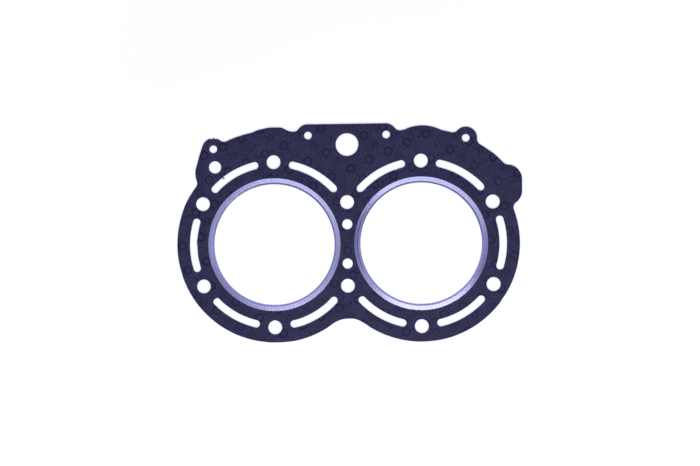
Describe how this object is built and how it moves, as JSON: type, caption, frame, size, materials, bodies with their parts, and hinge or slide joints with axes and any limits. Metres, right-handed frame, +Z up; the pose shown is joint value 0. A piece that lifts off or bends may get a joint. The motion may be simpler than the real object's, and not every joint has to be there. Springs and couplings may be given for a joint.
{
  "type": "cylinder head gasket",
  "caption": "Flat punched gasket for an engine with cylinders side by side: a dark composite sheet with bolt holes, curved coolant slots and folded steel rings round the cylinder openings.",
  "frame": {"origin": "midway between the two cylinder centres, in the plane of the facing sheet's underside, which is also the centre of the head bolt pattern", "axes": "+X along the cylinder row, +Y towards the side with the straight rail and coolant outlet, +Z up, from the engine block to the cylinder head"},
  "size_m": [0.226, 0.1426, 0.0016],
  "materials": {
    "facing": "dark coated composite sheet, low sheen, faintly mottled",
    "ring_steel": "rolled bright strip, satin, faintly violet grey"
  },
  "bodies": {
    "root": {"gasket_sheet": "facing", "bore_ring_1": "ring_steel", "bore_ring_2": "ring_steel"}
  },
  "joints": []
}
